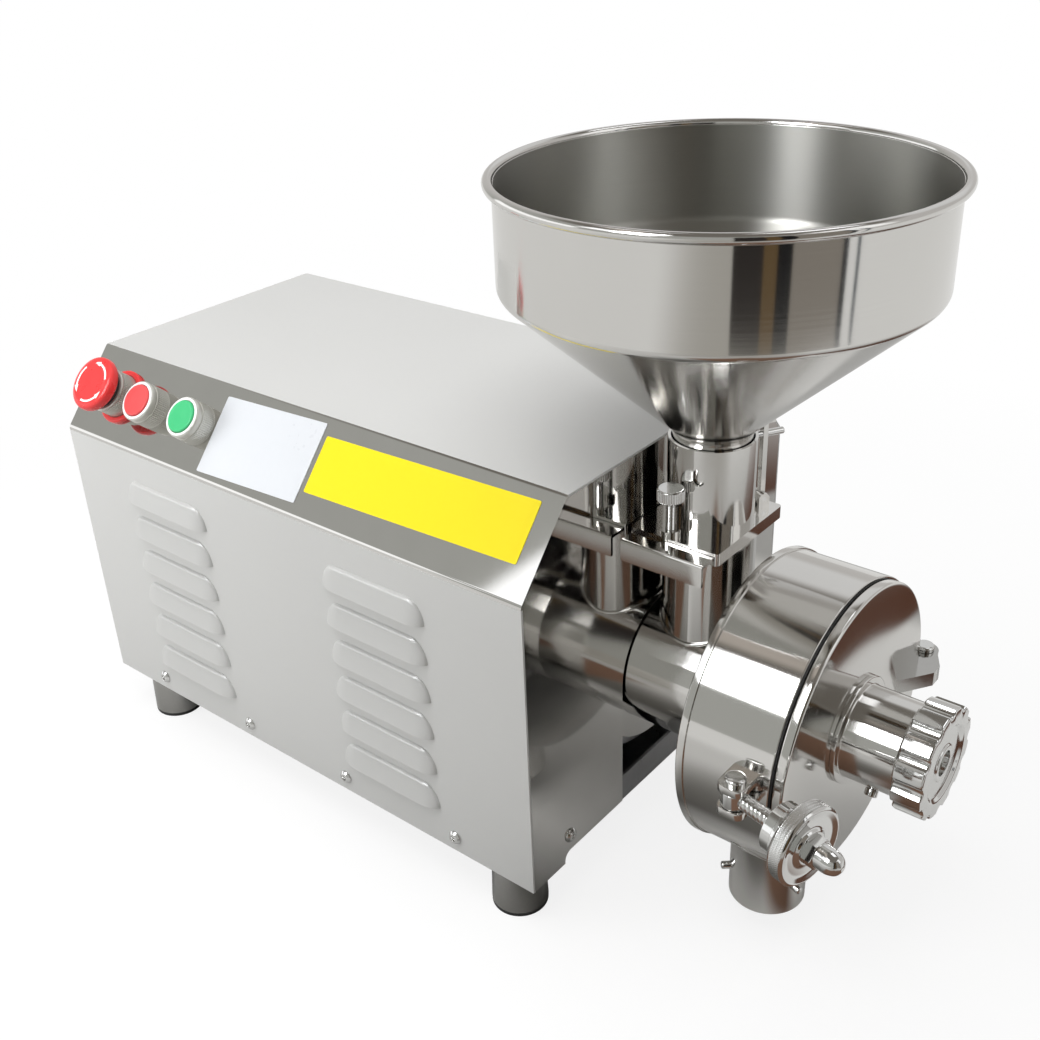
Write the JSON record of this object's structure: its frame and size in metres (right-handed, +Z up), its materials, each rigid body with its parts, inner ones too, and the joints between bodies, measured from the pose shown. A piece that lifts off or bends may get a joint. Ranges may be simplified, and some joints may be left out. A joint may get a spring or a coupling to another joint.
{
  "type": "stone mill",
  "caption": "Electric grain mill: folded steel motor housing with control buttons, funnel hopper, grinding drum with hinged cover, adjusting knob and flour outlet.",
  "frame": {"origin": "middle of the bounding box, on the ground under the feet", "axes": "+X along the mill axis from the housing to the knob, +Y to the rear, +Z up"},
  "size_m": [0.6474, 0.3084, 0.46],
  "materials": {
    "steel_sheet": "fine matt",
    "steel_polished": "polished stainless steel",
    "steel_chromed": "bright",
    "steel_dark": "turned",
    "black_rubber": "matt",
    "seal_rubber": "matt",
    "black_plastic": "moulded",
    "motor_paint": "semi-gloss enamel",
    "motor_alloy": "machined",
    "core_iron": "laminated",
    "mill_stone": "sintered grinding stone",
    "red_plastic": "gloss",
    "green_plastic": "gloss",
    "button_metal": "metallised, satin",
    "button_black": "moulded"
  },
  "bodies": {
    "base": {"housing_cover": "steel_sheet", "left_end_panel": "steel_sheet", "right_end_panel": "steel_sheet", "base_tray": "steel_sheet", "foot_cups": "steel_chromed", "foot_pads": "black_rubber", "housing_screws": "steel_chromed", "cable_gland": "black_plastic", "motor_shell": "motor_paint", "motor_front_flange": "motor_alloy", "motor_rear_bell": "motor_paint", "fan_cowl": "motor_paint", "stator": "core_iron", "motor_saddles": "motor_paint", "shaft_bearings": "steel_dark", "run_capacitor": "black_plastic", "feed_barrel": "steel_polished", "inlet_flange": "steel_polished", "hopper_socket": "steel_polished", "lock_pivot": "steel_chromed", "grinding_drum": "steel_polished", "drum_back": "steel_polished", "outlet_pipe": "steel_polished", "outlet_screws": "steel_chromed", "cover_seal": "seal_rubber", "hinge_pin": "steel_chromed", "latch_pin": "steel_chromed", "estop_ring": "red_plastic", "estop_body": "button_metal", "stop_body": "button_metal", "start_body": "button_metal", "contact_blocks": "black_plastic"},
    "rotor": {"drive_shaft": "steel_dark", "rotor_core": "core_iron", "cooling_fan": "black_plastic", "feed_auger": "steel_dark", "stone_disc": "steel_polished", "running_stone": "mill_stone", "stone_nut": "steel_chromed"},
    "gate": {"feed_gate": "steel_polished"},
    "thumb": {"thumb_screw": "steel_chromed"},
    "funnel": {"hopper": "steel_polished"},
    "lock": {"lock_lever": "steel_polished", "lock_pin": "steel_chromed"},
    "door": {"chamber_cover": "steel_polished", "cover_hub": "steel_polished", "hub_screw": "steel_chromed", "hinge_arm": "steel_polished"},
    "carrier": {"stone_carrier": "steel_polished", "fixed_stone": "mill_stone"},
    "knob": {"adjusting_knob": "steel_polished", "knob_spindle": "steel_chromed"},
    "bolt": {"swing_bolt": "steel_chromed"},
    "washer": {"clamp_washer": "steel_chromed"},
    "nut": {"knurled_nut": "steel_chromed", "cap_nut": "steel_chromed"},
    "estop_rod": {"estop_plunger": "button_black"},
    "estop_cap": {"estop_head": "red_plastic"},
    "stop_button": {"stop_cap": "red_plastic"},
    "start_button": {"start_cap": "green_plastic"}
  },
  "joints": [
    {"name": "rotor_spin", "type": "hinge", "parent": "base", "child": "rotor", "pos_m": [0.11925, 0.00371, 0.136], "axis": [1, 0, 0], "continuous": true},
    {"name": "cover_swing", "type": "hinge", "parent": "base", "child": "door", "pos_m": [0.26625, 0.10571, 0.136], "axis": [0, 0, 1], "range_deg": [0, 110]},
    {"name": "knob_spin", "type": "hinge", "parent": "door", "child": "knob", "pos_m": [0.29925, 0.00371, 0.136], "axis": [1, 0, 0], "range_deg": [0, 720]},
    {"name": "stone_feed", "type": "slide", "parent": "door", "child": "carrier", "axis": [1, 0, 0], "range_m": [0, 0.003]},
    {"name": "bolt_swing", "type": "hinge", "parent": "base", "child": "bolt", "pos_m": [0.24475, -0.10129, 0.145], "axis": [0, 0, -1], "range_deg": [-13, 95]},
    {"name": "nut_travel", "type": "slide", "parent": "bolt", "child": "washer", "axis": [0.9744, -0.225, 0], "range_m": [-0.009, 0.0025]},
    {"name": "nut_spin", "type": "hinge", "parent": "washer", "child": "nut", "pos_m": [0.24475, -0.10129, 0.145], "axis": [0.9744, -0.225, 0], "range_deg": [-2592, 720]},
    {"name": "gate_slide", "type": "slide", "parent": "base", "child": "gate", "axis": [0, -1, 0], "range_m": [0, 0.05]},
    {"name": "thumb_turn", "type": "hinge", "parent": "base", "child": "thumb", "pos_m": [0.15525, -0.03229, 0.274], "axis": [0, 0, 1], "range_deg": [0, 720]},
    {"name": "hopper_lift", "type": "slide", "parent": "base", "child": "funnel", "axis": [0, 0, 1], "range_m": [0, 0.05]},
    {"name": "hopper_lock", "type": "hinge", "parent": "base", "child": "lock", "pos_m": [0.17882, 0.03252, 0.256], "axis": [-0.8471, 0.5314, 0], "range_deg": [0, 14], "stiffness_Nm_per_rad": 0.1, "springref_deg": -17.19},
    {"name": "estop_press", "type": "slide", "parent": "base", "child": "estop_rod", "axis": [0, 0.7535, -0.6575], "range_m": [0, 0.005], "stiffness_N_per_m": 600, "springref_m": -0.003},
    {"name": "estop_twist", "type": "hinge", "parent": "estop_rod", "child": "estop_cap", "pos_m": [-0.25675, -0.11893, 0.27162], "axis": [0, -0.7535, 0.6575], "range_deg": [0, 45], "stiffness_Nm_per_rad": 0.05, "springref_deg": -11.46},
    {"name": "stop_press", "type": "slide", "parent": "base", "child": "stop_button", "axis": [0, 0.7535, -0.6575], "range_m": [0, 0.0035], "stiffness_N_per_m": 600, "springref_m": -0.002},
    {"name": "start_press", "type": "slide", "parent": "base", "child": "start_button", "axis": [0, 0.7535, -0.6575], "range_m": [0, 0.0035], "stiffness_N_per_m": 600, "springref_m": -0.002}
  ],
  "couplings": [
    {"joint": "stone_feed", "follows": "knob_spin", "m_per_rad": 0.00023873},
    {"joint": "nut_travel", "follows": "nut_spin", "m_per_rad": 0.00019894}
  ]
}
